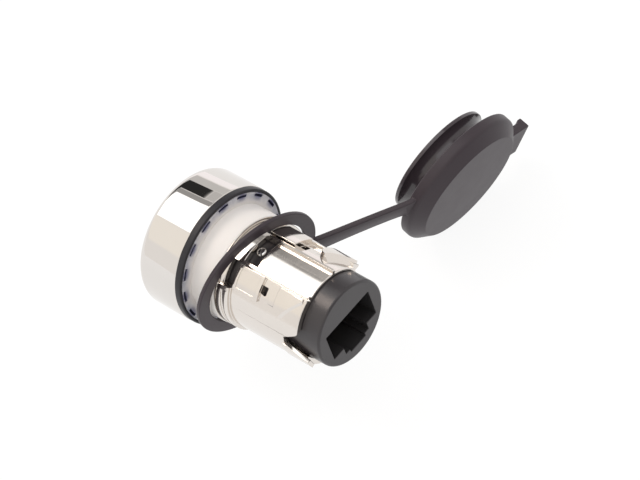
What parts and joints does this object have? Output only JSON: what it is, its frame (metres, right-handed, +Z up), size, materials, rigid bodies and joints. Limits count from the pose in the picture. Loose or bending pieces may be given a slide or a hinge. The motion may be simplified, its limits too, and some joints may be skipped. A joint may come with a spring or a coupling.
{
  "type": "panel mount ethernet socket",
  "caption": "Round panel mount ethernet feed-through socket with a chromed front ring, a die-cast rear sleeve holding a black jack module, and a rubber dust cap on a strap.",
  "frame": {"origin": "centre of the plane at the back of the front ring that seats on the panel", "axes": "+Y along the barrel's axis, from the front ring to the rear jack; +Z up, toward the contacts' side of the jacks; +X completes the right-handed frame, with the tethered cap lying toward -X"},
  "size_m": [0.0775, 0.0415, 0.041],
  "materials": {
    "chrome_plate": "polished",
    "black_band": "satin",
    "milky_seal": "satin",
    "nickel_plate": "bright",
    "screw_steel": "bright",
    "gasket_rubber": "matte",
    "module_plastic": "satin",
    "carrier_plastic": "matte",
    "contact_gold": "polished",
    "cap_rubber": "satin"
  },
  "bodies": {
    "root": {"bezel_ring": "chrome_plate", "edge_band": "black_band", "panel_seal": "milky_seal", "sleeve": "nickel_plate", "locking_screw": "screw_steel", "module_gasket": "gasket_rubber", "front_jack": "module_plastic", "rear_jack": "module_plastic", "contact_carrier": "carrier_plastic", "contact_1": "contact_gold", "contact_2": "contact_gold", "contact_3": "contact_gold", "contact_4": "contact_gold", "contact_5": "contact_gold", "contact_6": "contact_gold", "contact_7": "contact_gold", "contact_8": "contact_gold", "dust_cap": "cap_rubber"}
  },
  "joints": []
}
